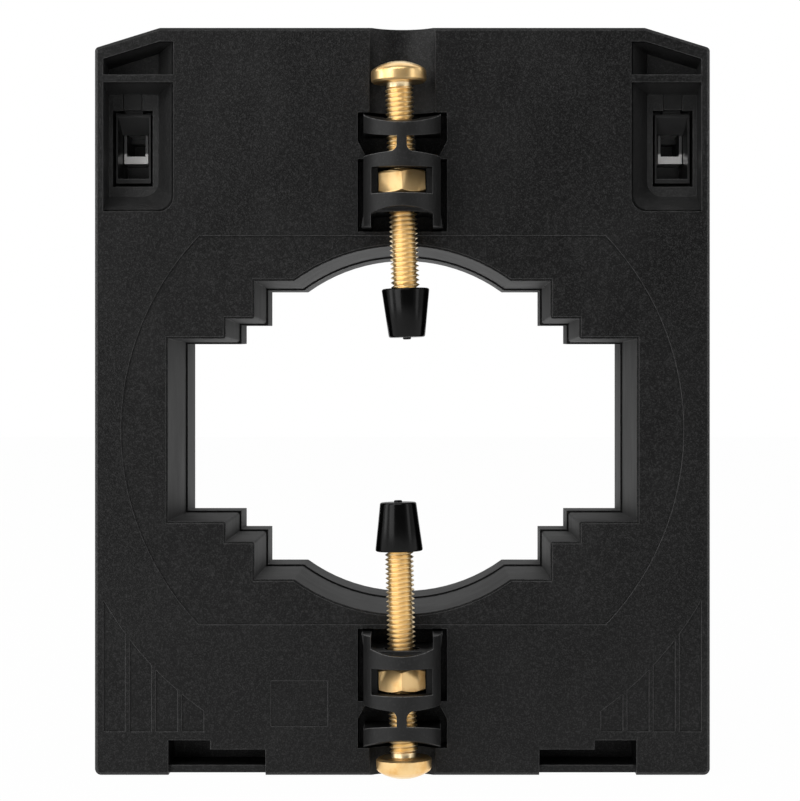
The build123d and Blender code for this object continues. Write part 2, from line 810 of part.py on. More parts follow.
os.makedirs("parts", exist_ok=True)
for node_name, node_shape in build().items():
    export_step(node_shape, f"parts/{node_name}.step")
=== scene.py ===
"""Looks of a window-type current transformer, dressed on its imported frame.

Metres, +Z up, and the front face looks along -Y, as in the frame. Lengths that
belong to the object are written in millimetres and multiplied by MM.
"""

import logging
import math
from dataclasses import dataclass, field
from enum import Enum
from typing import Any, Callable, Sequence, Union

import bpy
from mathutils import Matrix, Vector


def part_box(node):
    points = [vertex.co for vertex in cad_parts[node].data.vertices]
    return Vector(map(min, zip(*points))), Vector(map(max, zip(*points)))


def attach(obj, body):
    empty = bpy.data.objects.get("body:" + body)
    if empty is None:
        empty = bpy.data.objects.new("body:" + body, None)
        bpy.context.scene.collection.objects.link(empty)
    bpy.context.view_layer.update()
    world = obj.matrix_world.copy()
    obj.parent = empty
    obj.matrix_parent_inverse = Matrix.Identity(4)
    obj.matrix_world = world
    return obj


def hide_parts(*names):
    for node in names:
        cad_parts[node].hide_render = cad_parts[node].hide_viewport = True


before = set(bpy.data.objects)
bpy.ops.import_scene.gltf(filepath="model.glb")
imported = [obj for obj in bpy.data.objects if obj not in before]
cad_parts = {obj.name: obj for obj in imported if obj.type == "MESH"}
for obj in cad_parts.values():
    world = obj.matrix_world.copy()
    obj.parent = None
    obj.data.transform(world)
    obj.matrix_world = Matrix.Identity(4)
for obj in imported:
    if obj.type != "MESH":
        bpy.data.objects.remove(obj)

MM = 0.001
FULL_TURN = 2 * math.pi
SMOOTH_ANGLE = math.radians(32)
FLAT_ANGLE = math.radians(0.5)
WINDOW_CENTRE_Z = 60.0
CLAMP_AXIS_Y = -29.5
EDGE_SAMPLES = 6
WELD = 0.0005
Point = tuple[float, float, float]
Colour = tuple[float, float, float, float]
log = logging.getLogger("current_transformer")


def grey(level: float) -> Colour:
    """A neutral colour of one linear level."""
    return (level, level, level, 1.0)


class Signal:
    """A shader socket whose arithmetic adds Math nodes to its tree."""

    def __init__(self, tree: "Tree", socket: bpy.types.NodeSocket) -> None:
        """Wraps one output socket of a tree."""
        self.tree = tree
        self.socket = socket

    def math(self, operation: str, *others: "Feed", swap: bool = False) -> "Signal":
        """Adds one Math node.

        Args:
            operation: the Math node's operation.
            others: the other operands, in order.
            swap: puts this socket second.

        Returns:
            The node's result.
        """
        feeds = (*others, self) if swap else (self, *others)
        return self.tree.node("ShaderNodeMath", {"operation": operation}, dict(enumerate(feeds)))

    def __add__(self, other: "Feed") -> "Signal":
        """This value plus another."""
        return self.math("ADD", other)

    def __radd__(self, other: "Feed") -> "Signal":
        """Another value plus this one."""
        return self.math("ADD", other, swap=True)

    def __sub__(self, other: "Feed") -> "Signal":
        """This value less another."""
        return self.math("SUBTRACT", other)

    def __rsub__(self, other: "Feed") -> "Signal":
        """Another value less this one."""
        return self.math("SUBTRACT", other, swap=True)

    def __mul__(self, other: "Feed") -> "Signal":
        """This value times another."""
        return self.math("MULTIPLY", other)

    def __rmul__(self, other: "Feed") -> "Signal":
        """Another value times this one."""
        return self.math("MULTIPLY", other, swap=True)

    def __truediv__(self, other: "Feed") -> "Signal":
        """This value over another."""
        return self.math("DIVIDE", other)

    def __gt__(self, other: "Feed") -> "Signal":
        """One where this value is the greater, else nought."""
        return self.math("GREATER_THAN", other)

    def __lt__(self, other: "Feed") -> "Signal":
        """One where this value is the smaller, else nought."""
        return self.math("LESS_THAN", other)

    def __abs__(self) -> "Signal":
        """The size of this value without its sign."""
        return self.math("ABSOLUTE")

    def band(self, low: float, high: float) -> "Signal":
        """A soft step from nought at low to one at high."""
        settings = {"interpolation_type": "SMOOTHSTEP"}
        return self.tree.node("ShaderNodeMapRange", settings, {0: self, 1: low, 2: high})


Feed = Union[Signal, float, Sequence[float]]


class Tree:
    """A node tree that is filled by one method."""

    def __init__(self, owner: Union[bpy.types.Material, bpy.types.World]) -> None:
        """Empties the owner's node tree.

        Args:
            owner: the material or world that is dressed.
        """
        owner.use_nodes = True
        self.nodes = owner.node_tree.nodes
        self.links = owner.node_tree.links
        self.nodes.clear()

    def node(self, kind: str, settings: dict[str, Any] | None = None,
             feeds: dict[Union[int, str], Feed] | None = None, output: Union[int, str] = 0) -> Signal:
        """Adds one node.

        Args:
            kind: the node's type.
            settings: its properties, set before its sockets.
            feeds: a value or a signal for each named or numbered input.
            output: the output that is handed back.

        Returns:
            That output as a signal, or the first input of a node with no output.
        """
        made = self.nodes.new(kind)
        for key, value in (settings or {}).items():
            setattr(made, key, value)
        for key, value in (feeds or {}).items():
            if isinstance(value, Signal):
                self.links.new(value.socket, made.inputs[key])
            else:
                made.inputs[key].default_value = value
        sockets = made.outputs if len(made.outputs) else made.inputs
        return Signal(self, sockets[output])

    def place(self) -> Signal:
        """The place on the object, in metres."""
        return self.node("ShaderNodeTexCoord", output="Object")

    def normal(self) -> Signal:
        """The true surface normal."""
        return self.node("ShaderNodeNewGeometry", output="Normal")

    def rounded(self, radius: float) -> Signal:
        """The normal over edges that appear rounded, by a radius in millimetres."""
        return self.node("ShaderNodeBevel", {"samples": EDGE_SAMPLES}, {"Radius": radius * MM})

    def split(self, vector: Signal) -> tuple[Signal, Signal, Signal]:
        """Takes a vector apart.

        Args:
            vector: the vector.

        Returns:
            Its three parts.
        """
        first = self.node("ShaderNodeSeparateXYZ", feeds={0: vector})
        outputs = first.socket.node.outputs
        return tuple(Signal(self, outputs[index]) for index in range(3))

    def stretch(self, vector: Signal, scale: Point) -> Signal:
        """A place scaled along each axis, for grain with a direction."""
        return self.node("ShaderNodeMapping", feeds={"Vector": vector, "Scale": scale})

    def noise(self, vector: Signal, size: float, detail: float = 3.0, rough: float = 0.55) -> Signal:
        """Noise whose cells are about size millimetres wide."""
        feeds = {"Vector": vector, "Scale": 1 / (size * MM), "Detail": detail, "Roughness": rough}
        return self.node("ShaderNodeTexNoise", feeds=feeds, output="Fac")

    def mix(self, share: Feed, first: Feed, second: Feed) -> Signal:
        """A colour between two others."""
        feeds = {0: share, 6: first, 7: second}
        return self.node("ShaderNodeMix", {"data_type": "RGBA"}, feeds, output=2)

    def outer_edges(self, normal: Signal, radius: float, upward: float = 0.0) -> Signal:
        """One along outward edges and nought elsewhere, the mask for painted edge highlights.

        Args:
            normal: the true surface normal.
            radius: how far from the edge it reaches, in millimetres.
            upward: how much weaker the painted highlight is where the edge doesn't look up towards the
                light from above.

        Returns:
            The mask, which leaves out the corners of hollows.
        """
        turn_band, air_band, rise_band = (0.06, 0.20), (0.70, 0.92), (0.0, 0.3)
        rounded = self.rounded(radius)
        along = self.node("ShaderNodeVectorMath", {"operation": "DOT_PRODUCT"},
                          {0: rounded, 1: normal}, "Value")
        open_air = self.node("ShaderNodeAmbientOcclusion", {"samples": 4},
                             {"Distance": 3 * radius * MM}, "AO")
        _, _, rise = self.split(rounded)
        # Painted highlight is kept on edges that look up, as if lit from above.
        lit_from_above = 1 - upward + rise.band(*rise_band) * upward
        return (1 - along).band(*turn_band) * open_air.band(*air_band) * lit_from_above

    def relief(self, height: Signal, depth: float, edge: float = 0.0) -> Signal:
        """A surface normal from a height, over softly rounded edges.

        Args:
            height: height from nought to one.
            depth: what one means, in millimetres.
            edge: radius that sharp edges appear to have, in millimetres.

        Returns:
            The normal.
        """
        feeds: dict[Union[int, str], Feed] = {"Height": height, "Distance": depth * MM, "Strength": 1.0}
        if edge:
            feeds["Normal"] = self.rounded(edge)
        return self.node("ShaderNodeBump", feeds=feeds)

    def surface(self, **feeds: Feed) -> None:
        """Ends a material in one principled shader.

        Args:
            feeds: inputs by name, with underscores for spaces.
        """
        named = {key.replace("_", " "): value for key, value in feeds.items()}
        shader = self.node("ShaderNodeBsdfPrincipled", feeds=named)
        self.node("ShaderNodeOutputMaterial", feeds={"Surface": shader})


class Finish:
    """Base of every finish: makes its material once and hands it out."""

    name: str

    def material(self) -> bpy.types.Material:
        """Finds the finish's material, and makes it on first use.

        Returns:
            The material.
        """
        known = bpy.data.materials.get(self.name)
        if known is None:
            known = bpy.data.materials.new(self.name)
            self.paint(Tree(known))
        return known

    def paint(self, tree: Tree) -> None:
        """Fills the material's tree."""
        raise NotImplementedError

    def dress(self, *pieces: bpy.types.Object) -> None:
        """Gives pieces this finish only.

        Args:
            pieces: the pieces that are dressed.
        """
        for piece in pieces:
            piece.data.materials.clear()
            piece.data.materials.append(self.material())


@dataclass(frozen=True)
class SparkedPlastic(Finish):
    """Moulded black plastic with a spark-eroded grain, painted highlights along its outer edges, painted
    light that makes the wire pockets paler, and smoother window walls.

    The last eight fields say where the shoulders, the pockets and the window are, in millimetres.
    """

    name: str = "sparked_black_plastic"
    dark: float = 0.0
    pale: float = 0.027
    # Level and reach of the painted highlight along outer edges.
    highlight_and_speck_level: float = 0.095
    highlight_width: float = 0.30
    # Painted light: paler levels for the wire pockets, standing in for light that reaches into them.
    painted_light_pocket_dark: float = 0.020
    painted_light_pocket_pale: float = 0.048
    window_dark: float = 0.002
    window_pale: float = 0.008
    gloss: float = 0.26
    roughness: float = 0.40
    window_roughness: float = 0.60
    grain_size: float = 0.23
    grain_depth: float = 0.10
    cloud_size: float = 9.0
    edge: float = 0.14
    shoulder_low: float = 121.5
    pocket_inner: float = 39.6
    pocket_outer: float = 52.6
    pocket_low: float = 97.5
    pocket_front: float = -24.2
    pocket_back: float = 0.0
    window_half_width: float = 41.5
    window_half_height: float = 32.5

    def _pocket(self, x: Signal, y: Signal, z: Signal, rise: Signal) -> Signal:
        """Marks the wire pockets, where light is painted into the colour.

        Args:
            x: the place across the object.
            y: the place along its depth.
            z: the height.
            rise: how far the surface looks up.

        Returns:
            One in the pockets, nought elsewhere and on the shoulders above them.
        """
        shoulder = (rise > 0.5) * (z > self.shoulder_low * MM)
        sides = (abs(x) > self.pocket_inner * MM) * (abs(x) < self.pocket_outer * MM)
        depth = (y > self.pocket_front * MM) * (y < self.pocket_back * MM)
        return sides * (z > self.pocket_low * MM) * depth * (1 - shoulder)

    def _window(self, x: Signal, z: Signal, facing: Signal) -> Signal:
        """Marks the window's walls.

        Args:
            x: the place across the object.
            z: the height.
            facing: how far the surface looks to the front or the back.

        Returns:
            One on the walls and nought elsewhere.
        """
        across = abs(x) < self.window_half_width * MM
        upright = abs(z - WINDOW_CENTRE_Z * MM) < self.window_half_height * MM
        return across * upright * (abs(facing) < 0.5)

    def paint(self, tree: Tree) -> None:
        """Grain and flow marks, with painted light in the pockets, painted highlights on outer edges, and
        other levels inside the window.

        Args:
            tree: the material's node tree.
        """
        place = tree.place()
        x, y, z = tree.split(place)
        normal = tree.normal()
        _, facing, rise = tree.split(normal)
        pocket = self._pocket(x, y, z, rise)
        inside = self._window(x, z, facing)

        fine = tree.noise(place, self.grain_size, 2.0, 0.6)
        coarse = tree.noise(place, 3.1 * self.grain_size, 3.0, 0.5)
        cloud = tree.noise(tree.stretch(place, (1.0, 1.0, 0.55)), self.cloud_size, 6.0, 0.68)
        grain = fine * 0.62 + coarse * 0.38
        pits = fine.band(0.51, 0.63) * 0.6 + coarse.band(0.50, 0.68) * 0.3
        speckle = pits + cloud.band(0.42, 0.72) * 0.1
        # Painted light: the pockets take paler dark and pale levels than the face.
        dark = tree.mix(pocket, grey(self.dark), grey(self.painted_light_pocket_dark))
        pale = tree.mix(pocket, grey(self.pale), grey(self.painted_light_pocket_pale))
        grained = tree.mix(speckle, dark, pale)
        # Painted highlight: outer edges are drawn paler, as if catching the light, broken up by the
        # coarse grain.
        highlight_and_specks = tree.outer_edges(normal, self.highlight_width) * (0.5 + 0.5 * coarse.band(0.3, 0.6))
        face = tree.mix(highlight_and_specks, grained, grey(self.highlight_and_speck_level))
        wall_colour = tree.mix(speckle, grey(self.window_dark), grey(self.window_pale))
        colour = tree.mix(inside, face, wall_colour)
        smoother = self.roughness - self.window_roughness
        rough = self.roughness + (cloud - 0.5) * 0.22 - inside * smoother
        height = grain * (1.0 - inside * 0.8)
        tree.surface(Base_Color=colour, Roughness=rough, Specular_IOR_Level=self.gloss,
                     Normal=tree.relief(height, self.grain_depth, self.edge))


@dataclass(frozen=True)
class SmoothPlastic(Finish):
    """Injection-moulded black plastic with a little flow mottling, faint pale specks, painted highlights
    on its upward outer edges and, where set, painted light on its undersides.
    """

    name: str
    level: float = 0.010
    roughness: float = 0.36
    grain_size: float = 0.5
    grain_depth: float = 0.006
    edge: float = 0.15
    gloss: float = 0.5
    highlight_and_speck_level: float = 0.0
    highlight_width: float = 0.30
    highlight_upward: float = 0.85
    grain_share: float = 0.05
    underside_painted_light: float = 0.0

    def paint(self, tree: Tree) -> None:
        """Mottled colour and roughness over a shallow grain, with painted edge highlights and faint pale
        specks where a highlight level is set, and painted light on undersides where that level is set.

        Args:
            tree: the material's node tree.
        """
        place = tree.place()
        grain = tree.noise(place, self.grain_size, 3.0, 0.55)
        cloud = tree.noise(place, 7 * self.grain_size, 4.0, 0.6)
        colour = tree.mix(cloud.band(0.3, 0.7), grey(self.level * 0.8), grey(self.level * 1.35))
        # Painted light: surfaces that look down are drawn paler, as if lit from below.
        if self.underside_painted_light:
            _, _, rise = tree.split(tree.normal())
            colour = tree.mix((rise < -0.2) * (0.7 + 0.3 * cloud), colour, grey(self.underside_painted_light))
        # Painted highlight on outer edges, mostly those that look up, plus faint pale grain specks.
        if self.highlight_and_speck_level:
            edges = tree.outer_edges(tree.normal(), self.highlight_width, self.highlight_upward)
            highlight_and_specks = edges * grain.band(0.25, 0.5) + grain.band(0.52, 0.72) * self.grain_share
            colour = tree.mix(highlight_and_specks, colour, grey(self.highlight_and_speck_level))
        rough = self.roughness + (cloud - 0.5) * 0.14 + (grain - 0.5) * 0.08
        tree.surface(Base_Color=colour, Roughness=rough, Specular_IOR_Level=self.gloss,
                     Normal=tree.relief(grain, self.grain_depth, self.edge))


@dataclass(frozen=True)
class TurnedBrass(Finish):
    """Bright brass, turned on its heads, with its threads painted paler to offset the deeper colour that
    light bouncing between the teeth gives.
    """

    name: str = "turned_brass"
    bright: Colour = (0.98, 0.68, 0.32, 1.0)
    warm: Colour = (0.88, 0.52, 0.18, 1.0)
    thread_painted_light: Colour = (0.99, 0.79, 0.48, 1.0)
    thread_reach: float = 3.3
    roughness: float = 0.30
    metallic: float = 1.0
    edge: float = 0.06
    tarnish_size: float = 2.4
    mark_size: float = 0.09
    mark_depth: float = 0.002

    def paint(self, tree: Tree) -> None:
        """Tarnish clouds, turning marks, and painted light on the threads near the clamp's axis.

        Args:
            tree: the material's node tree.
        """
        place = tree.place()
        x, y, _ = tree.split(place)
        away = y - CLAMP_AXIS_Y * MM
        turned = (x * x + away * away).math("SQRT") > self.thread_reach * MM
        marks = tree.noise(tree.stretch(place, (0.08, 0.08, 1.0)), self.mark_size, 2.0, 0.5)
        tarnish = tree.noise(place, self.tarnish_size, 5.0, 0.62)
        aged = tree.mix(tarnish.band(0.42, 0.78), self.bright, self.warm)
        # Painted light: near the axis the threads get a paler colour than the head, offsetting the colour
        # that bounced light deepens between the teeth.
        colour = tree.mix(turned, self.thread_painted_light, aged)
        rough = self.roughness + tarnish.band(0.35, 0.8) * 0.14 + (marks - 0.5) * 0.06
        tree.surface(Base_Color=colour, Metallic=self.metallic, Roughness=rough,
                     Normal=tree.relief(marks, self.mark_depth, self.edge))


@dataclass(frozen=True)
class PlatedSteel(Finish):
    """Plated steel or tinned brass, with a satin drawn surface."""

    name: str
    light: float = 0.66
    dim: float = 0.48
    tint: float = 0.98
    roughness: float = 0.26
    edge: float = 0.08
    # Height, fade and level of the painted shade over the upper part.
    painted_shade_above: float = 0.0
    painted_shade_fade: float = 0.4
    painted_shade_level: float = 0.14
    patch_size: float = 1.8
    line_size: float = 0.12
    line_depth: float = 0.0015

    def _tinted(self, level: float) -> Colour:
        """A level whose green is scaled by the tint once, and its blue twice."""
        return (level, level * self.tint, level * self.tint ** 2, 1.0)

    def paint(self, tree: Tree) -> None:
        """Drawn lines along the height and uneven plating, with painted shade above a height where one is
        given.

        Args:
            tree: the material's node tree.
        """
        place = tree.place()
        lines = tree.noise(tree.stretch(place, (1.0, 1.0, 0.06)), self.line_size, 2.0, 0.5)
        patch = tree.noise(place, self.patch_size, 4.0, 0.6)
        colour = tree.mix(patch.band(0.35, 0.7), self._tinted(self.light), self._tinted(self.dim))
        # Painted shade: everything above the given height is drawn darker, as the upper parts catch less
        # light.
        if self.painted_shade_above:
            _, _, height = tree.split(place)
            painted_shade = height.band(self.painted_shade_above * MM, (self.painted_shade_above + self.painted_shade_fade) * MM)
            colour = tree.mix(painted_shade, colour, grey(self.painted_shade_level))
        rough = self.roughness + patch.band(0.4, 0.8) * 0.12 + (lines - 0.5) * 0.10
        tree.surface(Base_Color=colour, Metallic=1.0, Roughness=rough,
                     Normal=tree.relief(lines, self.line_depth, self.edge))


@dataclass(frozen=True)
class Wrapping(Finish):
    """Something wound round the ring: enamelled wire, or tape in overlapping turns.

    The slant is in turns for each metre of depth.
    """

    name: str
    light: Colour
    dark: Colour
    turns: int
    slant: float
    depth: float
    roughness: float
    metallic: float = 0.0
    blotch_size: float = 3.0

    def paint(self, tree: Tree) -> None:
        """Turns counted by the angle about the window's centre, each drawn lighter on its crown with
        painted shade in the grooves between turns, over blotches of tone.

        Args:
            tree: the material's node tree.
        """
        place = tree.place()
        x, y, z = tree.split(place)
        angle = (z - WINDOW_CENTRE_Z * MM).math("ARCTAN2", x)
        turn = (angle * (self.turns / FULL_TURN) + y * self.slant).math("FRACT")
        crown = (turn * math.pi).math("SINE")
        blotch = tree.noise(place, self.blotch_size, 4.0, 0.6)
        # Painted light and shade: each turn is lighter on its crown and darker in the groove to the next;
        # the blotches are the wrapping's own tone.
        colour = tree.mix(crown * 0.65 + blotch * 0.35, self.dark, self.light)
        rough = self.roughness + (blotch - 0.5) * 0.15
        tree.surface(Base_Color=colour, Metallic=self.metallic, Roughness=rough,
                     Normal=tree.relief(crown, self.depth))


@dataclass(frozen=True)
class WoundStrip(Finish):
    """Steel strip wound round and round, its edges showing as fine rings."""

    name: str = "wound_core_steel"
    strip: float = 0.3
    half_width: float = 46.0
    half_height: float = 38.0
    corner: float = 22.0
    dark: Colour = (0.16, 0.165, 0.18, 1.0)
    light: Colour = (0.42, 0.43, 0.45, 1.0)
    roughness: float = 0.38
    metallic: float = 0.9
    ridge_depth: float = 0.02

    def paint(self, tree: Tree) -> None:
        """Rings at equal distances from a rounded rectangle.

        Args:
            tree: the material's node tree.
        """
        place = tree.place()
        x, _, z = tree.split(place)
        flat_x, flat_z = (self.half_width - self.corner) * MM, (self.half_height - self.corner) * MM
        reach_x = (abs(x) - flat_x).math("MAXIMUM", 0.0)
        reach_z = (abs(z - WINDOW_CENTRE_Z * MM) - flat_z).math("MAXIMUM", 0.0)
        out = (reach_x * reach_x + reach_z * reach_z).math("SQRT")
        layer = (out / (self.strip * MM)).math("FRACT")
        ridge = (layer * math.pi).math("SINE")
        stain = tree.noise(place, 4.0, 5.0, 0.6)
        colour = tree.mix(ridge * 0.6 + stain * 0.4, self.dark, self.light)
        rough = self.roughness + (stain - 0.5) * 0.2
        tree.surface(Base_Color=colour, Metallic=self.metallic, Roughness=rough,
                     Normal=tree.relief(ridge, self.ridge_depth))


@dataclass(frozen=True)
class Card(Finish):
    """Buff insulating card with short fibres."""

    name: str = "insulating_card"
    light: Colour = (0.62, 0.52, 0.36, 1.0)
    dark: Colour = (0.44, 0.35, 0.22, 1.0)
    roughness: float = 0.82
    fibre_size: float = 0.35
    fibre_depth: float = 0.02
    cloud_size: float = 5.0

    def paint(self, tree: Tree) -> None:
        """Fibres along the ring and a soft mottling.

        Args:
            tree: the material's node tree.
        """
        place = tree.place()
        fibre = tree.noise(tree.stretch(place, (0.25, 1.0, 1.0)), self.fibre_size, 3.0, 0.6)
        cloud = tree.noise(place, self.cloud_size, 3.0, 0.5)
        colour = tree.mix(fibre * 0.7 + cloud * 0.3, self.dark, self.light)
        rough = self.roughness + (cloud - 0.5) * 0.1
        tree.surface(Base_Color=colour, Roughness=rough, Normal=tree.relief(fibre, self.fibre_depth))


class Finishes(Enum):
    """The finishes that the object's pieces share."""

    HOUSING = SparkedPlastic()
    HOLDER = SmoothPlastic("holder_black_plastic", level=0.005, roughness=0.50, grain_size=0.4,
                           grain_depth=0.03, edge=0.16, gloss=0.34, highlight_and_speck_level=0.22)
    CAP = SmoothPlastic("cap_gloss_black", level=0.001, roughness=0.16, grain_size=0.9,
                        grain_depth=0.003, edge=0.1, gloss=0.20)
    INSERT = SmoothPlastic("insert_black_plastic", level=0.009, roughness=0.34, edge=0.12, highlight_and_speck_level=0.07,
                           underside_painted_light=0.06)
    BRASS = TurnedBrass()
    NUT_BRASS = TurnedBrass("milled_brass", thread_reach=0.0, roughness=0.42, metallic=0.70)
    NICKEL = PlatedSteel("nickel_plated_steel", light=0.97, dim=0.88, tint=0.985, roughness=0.34,
                         painted_shade_above=109.0)
    ZINC = PlatedSteel("zinc_plated_steel", light=0.62, dim=0.46, tint=1.01, roughness=0.30)
    TIN = PlatedSteel("tinned_brass", light=0.70, dim=0.56, tint=0.985, roughness=0.32)
    WIRE = Wrapping("enamelled_wire", light=(0.56, 0.21, 0.07, 1.0), dark=(0.17, 0.05, 0.015, 1.0),
                    turns=260, slant=0.0, depth=0.35, roughness=0.30, metallic=0.6)
    TAPE = Wrapping("yellow_wrapping_tape", light=(0.78, 0.58, 0.10, 1.0), dark=(0.50, 0.34, 0.04, 1.0),
                    turns=34, slant=30.0, depth=0.06, roughness=0.28)
    CORE = WoundStrip()
    CARD = Card()


class Bench:
    """The steps in edit mode that the pieces are made with."""

    @staticmethod
    def clear() -> None:
        """Leaves edit mode and deselects everything."""
        if bpy.context.object and bpy.context.object.mode != "OBJECT":
            bpy.ops.object.mode_set(mode="OBJECT")
        bpy.ops.object.select_all(action="DESELECT")

    @classmethod
    def pick(cls, *pieces: bpy.types.Object) -> None:
        """Selects some pieces only and makes the last one active.

        Args:
            pieces: the pieces.
        """
        cls.clear()
        for piece in pieces:
            piece.select_set(True)
        bpy.context.view_layer.objects.active = pieces[-1]

    @classmethod
    def edit(cls, piece: bpy.types.Object, select: str = "SELECT") -> None:
        """Opens a piece in edit mode.

        Args:
            piece: the piece.
            select: "SELECT" for all of it selected, "DESELECT" for none.
        """
        cls.pick(piece)
        bpy.ops.object.mode_set(mode="EDIT")
        bpy.ops.mesh.select_mode(type="VERT")
        bpy.ops.mesh.select_all(action=select)

    @classmethod
    def heal(cls, piece: bpy.types.Object, distance: float = WELD) -> None:
        """Merges doubles and turns the faces outwards.

        Args:
            piece: the piece.
            distance: how far apart doubles may lie, in millimetres.
        """
        cls.edit(piece)
        bpy.ops.mesh.remove_doubles(threshold=distance * MM)
        bpy.ops.mesh.normals_make_consistent(inside=False)
        cls.clear()

    @classmethod
    def line(cls, name: str, points: Sequence[tuple[float, float]]) -> bpy.types.Object:
        """Draws a profile from vertex to vertex in the XZ plane.

        Args:
            name: the piece's name.
            points: radius and height of each vertex, in millimetres.

        Returns:
            The piece, which is one open run of edges.
        """
        cls.clear()
        first = points[0]
        bpy.ops.mesh.primitive_plane_add(size=MM, location=(0, 0, 0))
        piece = bpy.context.object
        piece.name = piece.data.name = name
        cls.edit(piece)
        bpy.ops.mesh.merge(type="CENTER")
        bpy.ops.transform.translate(value=(first[0] * MM, 0, first[1] * MM))
        for before, after in zip(points, points[1:]):
            step = ((after[0] - before[0]) * MM, 0, (after[1] - before[1]) * MM)
            bpy.ops.mesh.extrude_vertices_move(TRANSFORM_OT_translate={"value": step})
        bpy.ops.object.mode_set(mode="OBJECT")
        return piece

    @classmethod
    def lathe(cls, name: str, points: Sequence[tuple[float, float]], steps: int = 64) -> bpy.types.Object:
        """Spins a profile once round the Z axis.

        Args:
            name: the piece's name.
            points: radius and height of each vertex, in millimetres.
            steps: faces round the turn.

        Returns:
            The closed piece.
        """
        piece = cls.line(name, points)
        cls.edit(piece)
        bpy.ops.mesh.spin(steps=steps, angle=FULL_TURN, center=(0, 0, 0), axis=(0, 0, 1))
        cls.heal(piece)
        return piece

    @classmethod
    def finish_with(cls, piece: bpy.types.Object, kind: str, **settings: Any) -> None:
        """Adds one modifier to a piece and applies it.

        Args:
            piece: the piece that is changed.
            kind: the modifier's type.
            settings: its properties.
        """
        cls.pick(piece)
        modifier = piece.modifiers.new(kind.lower(), kind)
        for key, value in settings.items():
            setattr(modifier, key, value)
        bpy.ops.object.modifier_apply(modifier=modifier.name)

    @classmethod
    def cut(cls, piece: bpy.types.Object, tool: bpy.types.Object, operation: str = "DIFFERENCE") -> None:
        """Cuts a piece with a tool, which is then thrown away."""
        cls.finish_with(piece, "BOOLEAN", operation=operation, object=tool, solver="EXACT")
        bpy.data.objects.remove(tool)

    @classmethod
    def block(cls, name: str, low: Point, high: Point) -> bpy.types.Object:
        """Adds a block between two corners.

        Args:
            name: the block's name.
            low: its lowest corner, in millimetres.
            high: its highest corner, in millimetres.

        Returns:
            The block.
        """
        cls.clear()
        middle = [(a + b) / 2 * MM for a, b in zip(low, high)]
        size = [(b - a) * MM for a, b in zip(low, high)]
        bpy.ops.mesh.primitive_cube_add(size=1.0, location=middle, scale=size)
        piece = bpy.context.object
        piece.name = piece.data.name = name
        bpy.ops.object.transform_apply(location=True, rotation=True, scale=True)
        return piece

    @classmethod
    def join(cls, pieces: Sequence[bpy.types.Object]) -> bpy.types.Object:
        """Makes several pieces one.

        Args:
            pieces: the pieces, the one that keeps its name last.

        Returns:
            The joined piece.
        """
        cls.pick(*pieces)
        bpy.ops.object.join()
        return pieces[-1]

    @classmethod
    def ease(cls, piece: bpy.types.Object, width: float, segments: int, angle: float) -> None:
        """Bevels the edges that turn by more than an angle in degrees, by a width in millimetres."""
        cls.finish_with(piece, "BEVEL", width=width * MM, segments=segments, limit_method="ANGLE",
                        angle_limit=math.radians(angle), use_clamp_overlap=True)

    @classmethod
    def smooth(cls, piece: bpy.types.Object) -> None:
        """Shades a piece smooth except over its sharp edges."""
        cls.pick(piece)
        bpy.ops.object.shade_smooth_by_angle(angle=SMOOTH_ANGLE)

    @classmethod
    def flatten_shading(cls, piece: bpy.types.Object) -> None:
        """Lets the large faces beside narrow bevels keep their own normals."""
        cls.finish_with(piece, "WEIGHTED_NORMAL", weight=100, keep_sharp=True)

    @classmethod
    def settle(cls, piece: bpy.types.Object, place: Matrix) -> None:
        """Moves a piece to its place and puts the place into its mesh.

        Args:
            piece: the piece.
            place: where its own origin goes.
        """
        cls.pick(piece)
        piece.matrix_world = place
        bpy.ops.object.transform_apply(location=True, rotation=True, scale=True)

    @classmethod
    def copy_node(cls, node: str, name: str) -> bpy.types.Object:
        """A merged copy of a CAD node that can be bevelled.

        Args:
            node: the CAD node's name.
            name: the copy's name.

        Returns:
            The copy, with flat regions dissolved to single faces.
        """
        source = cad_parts[node]
        piece = source.copy()
        piece.data = source.data.copy()
        piece.name = piece.data.name = name
        for key in list(piece.keys()):
            del piece[key]
        piece.parent = None
        bpy.context.scene.collection.objects.link(piece)
        cls.edit(piece)
        bpy.ops.mesh.customdata_custom_splitnormals_clear()
        bpy.ops.mesh.remove_doubles(threshold=WELD * MM)
        bpy.ops.mesh.dissolve_limited(angle_limit=FLAT_ANGLE)
        cls.clear()
        return piece


def node_box(name: str) -> tuple[Vector, Vector]:
    """A CAD node's lowest and highest corners in millimetres."""
    low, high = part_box(name)
    return Vector(low) / MM, Vector(high) / MM


def dress_node(name: str, finish: Finishes) -> None:
    """Gives a finish to a CAD node that is shown as it is."""
    finish.value.dress(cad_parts[name])
    log.info("%s dressed", name)


def set_down(piece: bpy.types.Object, body: str, slot: str, *nodes: str) -> None:
    """Hands a finished piece to the frame.

    Args:
        piece: the piece.
        body: the CAD body that it rides on.
        slot: not used.
        nodes: the CAD nodes that it stands for.
    """
    Bench.clear()
    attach(piece, body)
    if nodes:
        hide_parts(*nodes)
    log.info("%s: %d faces on %s", piece.name, len(piece.data.polygons), body)


